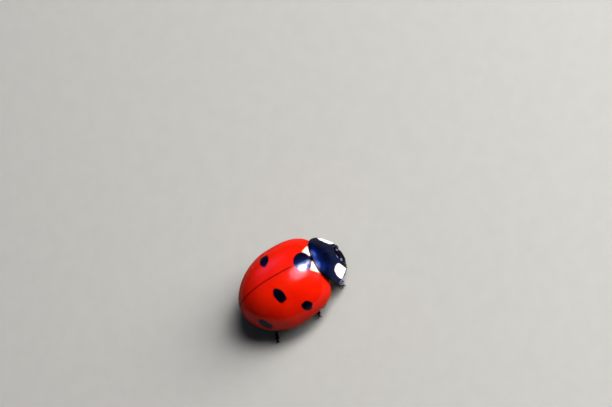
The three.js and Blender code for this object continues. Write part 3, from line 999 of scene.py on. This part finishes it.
# Shells are glossy in their coat alone, and dark blue towards the edge where they are metallic.
SHELL = {"Specular_Tint": (0.0, 0.05, 0.2, 1.0), "Specular_IOR_Level": 0.0}


def wing_look():
    look = Look("wing_shell", Roughness=0.34, Coat_Weight=0.16, Coat_Roughness=0.17, Coat_IOR=2.5, **SHELL)
    red = look.mottle((224, 30, 1), (229, 40, 2), 1.6, 4, 0.35, 0.65)
    # painted shade: the red turns darker towards the rim, low on the flanks
    red = look.mix(look.span(look.attribute("height"), 1.4, 0.1), red, rgb(204, 26, 1))
    red = look.mix(look.attribute("margin"), red, rgb(176, 60, 8))
    # painted shade: the red darkens along the suture, in the gap where the two wing cases meet
    red = look.mix(look.span(look.attribute("seam"), 0.12, 0.0, 0.0, 0.6), red, rgb(120, 4, 2))
    blur = look.noise(0.12, 3)
    edge = look.frayed("pale", blur)
    pale = look.mix(look.span(edge, -0.1, 0.0), rgb(255, 246, 240), rgb(255, 190, 150))
    colour = look.mix(look.span(edge, -0.03, 0.04), pale, red)
    spot = look.frayed("black", blur, 0.04)
    colour = look.mix(look.span(spot, 0.0, 0.09, 0.45, 0.0), colour, rgb(120, 6, 6))
    bare = look.span(spot, -0.02, 0.025)
    colour = look.mix(bare, rgb(4, 17, 52), colour)
    look.wire(look.math("MULTIPLY_ADD", bare, -0.9, 0.9), "Metallic")
    colour = look.mix(look.math("MULTIPLY", look.attribute("under"), 0.8), colour, rgb(120, 42, 12))
    look.wire(colour, "Base Color")
    pits = look.span(look.cells(0.075), 0.0, 0.24)
    look.bump((pits, 0.001), (look.noise(0.25, 2), 0.003), (look.noise(0.9, 2), 0.01))
    return look.material


# Dark shells: tint, metallic, roughness, coat, and the size and depth of the pits in mm.
DARK_SHELLS = {
    "scutellum_shell": ((8, 18, 52), 0.85, 0.42, 0.14, 0.07, 0.003),
    "neck_shell": ((2, 32, 92), 0.85, 0.36, 0.2, 0.1, 0.006),
    "head_shell": ((10, 14, 34), 0.7, 0.42, 0.15, 0.06, 0.004),
    "underside": ((16, 13, 13), 0.0, 0.45, 0.1, 0.09, 0.006),
    "leg_shell": ((14, 12, 15), 0.0, 0.4, 0.13, 0.07, 0.004),
}
# The pale markings on them: colour, and the distances from the edge between which it gives way to the dark.
PALE_MARKS = {
    "neck_shell": ((255, 255, 255), -0.03, 0.02),
    "head_shell": ((112, 106, 136), -0.02, 0.03),
    "underside": ((232, 224, 206), -0.02, 0.03),
}


def dark_look(name):
    tint, metal, rough, weight, pit, pit_depth = DARK_SHELLS[name]
    coat = {"Coat_Weight": weight, "Coat_Roughness": 0.18, "Coat_IOR": 2.4}
    look = Look(name, Roughness=rough, Metallic=metal, **coat, **SHELL)
    colour = look.mottle(tint, [c // 2 for c in tint], 0.5, 4, 0.35, 0.7)
    if name == "neck_shell":
        # painted shade: near black along the shield's rear edge, where it takes the blue sheen away
        colour = look.mix(look.span(look.attribute("rear_shade"), 0.7, 1.2), rgb(3, 4, 9), colour)
    if name in PALE_MARKS:
        pale, low, high = PALE_MARKS[name]
        bare = look.span(look.frayed("pale", look.noise(0.1)), low, high)
        ivory = look.mottle(pale, (244, 240, 236), 0.3, 4) if name == "neck_shell" else rgb(*pale)
        colour = look.mix(bare, ivory, colour)
        if metal:
            look.wire(look.math("MULTIPLY", bare, metal), "Metallic")
    look.wire(colour, "Base Color")
    pits = look.span(look.cells(pit), 0.0, 0.35)
    look.bump((pits, pit_depth), (look.noise(pit * 0.3, 2), pit_depth * 0.5))
    return look.material


def plain_look(name, a, b, size, bump=None, **numbers):
    """Two mottled colours, and a bump of (size, detail, how high in mm)."""
    look = Look(name, **numbers)
    look.wire(look.mottle(a, b, size), "Base Color")
    if bump:
        look.bump((look.noise(*bump[:2]), bump[2]))
    return look.material


# ------------------------------------------------ the animal

red = wing_look()
for name, side in SIDES:
    settle(wing_case(f"wing_case_{name}", side), "red_shell", red, f"elytron_{name}")

black = dark_look("scutellum_shell")
settle(scutellum(), "black_shell", black, "scutellum")
settle(neck_shield(), "black_shell", dark_look("neck_shell"), "pronotum")
settle(head(), "black_shell", dark_look("head_shell"), "head")
settle(labrum(), "black_shell", black, "labrum")

facets = plain_look(
    "eye_facets", (6, 6, 8), (20, 14, 10), 0.2, (0.02, 2, 0.0004),
    Roughness=0.18, IOR=1.5, Coat_Weight=0.6, Coat_Roughness=0.05,
)
brown = plain_look("feeler_brown", (70, 40, 20), (34, 20, 12), 0.15, (0.03, 3, 0.002), Roughness=0.4, IOR=1.5)
for name, side in SIDES:
    settle(eye(f"eye_facets_{name}", side), "eye", facets, f"eye_{name}")
    settle(feeler(f"feeler_{name}", side), "feeler", brown, f"antenna_{name}")
    settle(palp(f"palp_joints_{name}", side), "feeler", brown, f"palp_{name}")
    settle(mandible(f"jaw_{name}", side), "feeler", brown, f"mandible_{name}")

settle(thorax(), "underside", dark_look("underside"), "thorax")
dark = dark_look("leg_shell")
settle(abdomen(), "underside", dark, "abdomen")
settle(prothorax(), "underside", dark, "prothorax")

for name, leg in LEGS.items():
    settle(hip_joint(f"{name}_coxa", leg), "leg", dark)
    settle(femur(f"{name}_femur", leg), "leg", dark, f"leg_{name}_femur")
    settle(shank(f"{name}_tibia", leg), "leg", dark, f"leg_{name}_tibia")
    settle(tarsus(f"{name}_tarsus", leg), "leg", dark, f"leg_{name}_tarsus")
# Pale lilac hairs: the legs' own pale hairs, and a painted highlight on the front right knee, where they
# gather thickly
hair = plain_look("bristle_gold", (226, 220, 240), (178, 172, 198), 0.2, Roughness=0.45, IOR=1.5)
settle(leg_bristles(), "leg", hair)

# ------------------------------------------------ floor, lights and camera

FLOOR_HALF = 0.5  # m


def floor():
    h = FLOOR_HALF
    data = bpy.data.meshes.new("floor")
    data.from_pydata([(-h, -h, 0), (h, -h, 0), (h, h, 0), (-h, h, 0)], [], [(0, 1, 2, 3)])
    grey = plain_look("floor", (202, 200, 195), (204, 202, 197), 1.2, Roughness=0.9, Specular_IOR_Level=0.1)
    data.materials.append(grey)
    shown("floor", data)


LIGHT_TARGET = Vector((0, 0, 0.0025))  # m, as are the lights' distance and radii
LIGHT_DISTANCE = 0.3
WHITE, WARM, LILAC, ICE = (1.0, 1.0, 1.0), (1.0, 0.97, 0.95), (0.62, 0.72, 1.0), (0.86, 0.88, 1.0)
AHEAD_BLUE, SIDE_BLUE = (0.15, 0.32, 1.0), (0.1, 0.3, 1.0)
RING_SHARES = (0.35, 0.65, 1.0, 1.35)  # discs one in another, so that the glow fades outwards
RING_RADIUS = 0.15


def light(name, direction, radius, power, colour, mirrored):
    """A round soft light that looks at the animal from a [forward, left, up] direction. It either is mirrored
    in gloss or lights what is dull."""
    data = bpy.data.lights.new(name, "AREA")
    data.shape = "DISK"
    data.size = 2 * radius
    data.energy = power
    data.color = colour
    made = shown(name, data)
    made.location = LIGHT_TARGET + aim(direction) * LIGHT_DISTANCE
    made.rotation_euler = aim(direction).to_track_quat("Z", "Y").to_euler()
    made.visible_glossy, made.visible_diffuse = mirrored, not mirrored


def lights():
    light("lamp", (0.42, 0.24, 0.874), 0.026, 0.5, WARM, True)
    light("softbox", (0.35, 0.2, 0.91), 0.07, 0.44, LILAC, True)
    light("glint", (0.56, 0.33, 0.76), 0.016, 0.16, ICE, True)
    for ring, share in enumerate(RING_SHARES):
        light(f"cool_{ring}", (0.84, -0.02, 0.53), RING_RADIUS * share, 0.075, AHEAD_BLUE, True)
        light(f"left_{ring}", (-0.15, 0.8, 0.58), RING_RADIUS * share, 0.05, SIDE_BLUE, True)
    light("front", (0.88, -0.02, 0.47), 0.13, 1.08, WHITE, False)
    light("top", (0.62, 0.08, 0.78), 0.07, 0.5, WHITE, False)


CAMERA_RIGHT = Vector((-0.3697, -0.8117, -0.4522))
CAMERA_UP = Vector((0.8, -0.5256, 0.2894))
CAMERA_BACK = Vector((-0.4726, -0.2547, 0.8437))
CAMERA_DISTANCE = 400  # mm
VIEW_WIDTH = 41.53  # mm across the picture at the animal
VIEW_CENTRE = (-0.9335, 4.2424)  # mm right and up of the body's origin
SENSOR_WIDTH = 36  # mm
SKY_COLOUR, SKY_STRENGTH = (0.7, 0.8, 1.0, 1.0), 0.04


def camera():
    data = bpy.data.cameras.new("camera")
    data.sensor_width = SENSOR_WIDTH
    data.lens = SENSOR_WIDTH * CAMERA_DISTANCE / VIEW_WIDTH
    data.clip_start, data.clip_end = 0.01, 10
    right, up, back = (v.normalized() for v in (CAMERA_RIGHT, CAMERA_UP, CAMERA_BACK))
    origin = Vector((0, BODY_MIDDLE, STANCE)) * MM
    centre = origin + (right * VIEW_CENTRE[0] + up * VIEW_CENTRE[1]) * MM
    place = Matrix((right, up, back)).transposed().to_4x4()
    place.translation = centre + back * CAMERA_DISTANCE * MM
    made = shown("camera", data)
    made.matrix_world = place
    bpy.context.scene.camera = made


def world():
    sky = bpy.data.worlds.new("studio")
    sky.use_nodes = True
    back = sky.node_tree.nodes["Background"]
    back.inputs["Color"].default_value = SKY_COLOUR
    back.inputs["Strength"].default_value = SKY_STRENGTH
    bpy.context.scene.world = sky


floor()
lights()
world()
camera()
view = bpy.context.scene.view_settings
view.view_transform, view.gamma, view.exposure = "Standard", 0.82, 0.2
